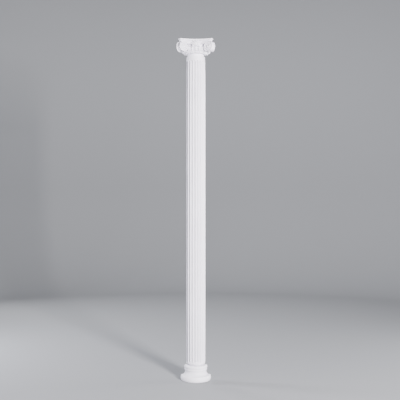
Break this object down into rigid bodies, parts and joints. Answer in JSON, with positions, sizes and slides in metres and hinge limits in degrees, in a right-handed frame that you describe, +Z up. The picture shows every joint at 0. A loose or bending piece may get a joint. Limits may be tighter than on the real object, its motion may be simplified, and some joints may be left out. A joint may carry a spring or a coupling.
{
  "type": "engaged half column",
  "caption": "White moulded polyurethane half column with a turned base, a fluted shaft and an Ionic capital, hollow and open to the wall it is glued to.",
  "frame": {"origin": "middle of the footprint's bounding box, on the surface that the base stands on", "axes": "+Z up the column, +Y towards the wall, +X to the right seen from the front"},
  "size_m": [0.272, 0.136, 2.43],
  "materials": {
    "white_polyurethane": "satin white primer on moulded rigid polyurethane foam"
  },
  "bodies": {
    "root": {"base": "white_polyurethane", "shaft": "white_polyurethane", "capital": "white_polyurethane"}
  },
  "joints": []
}
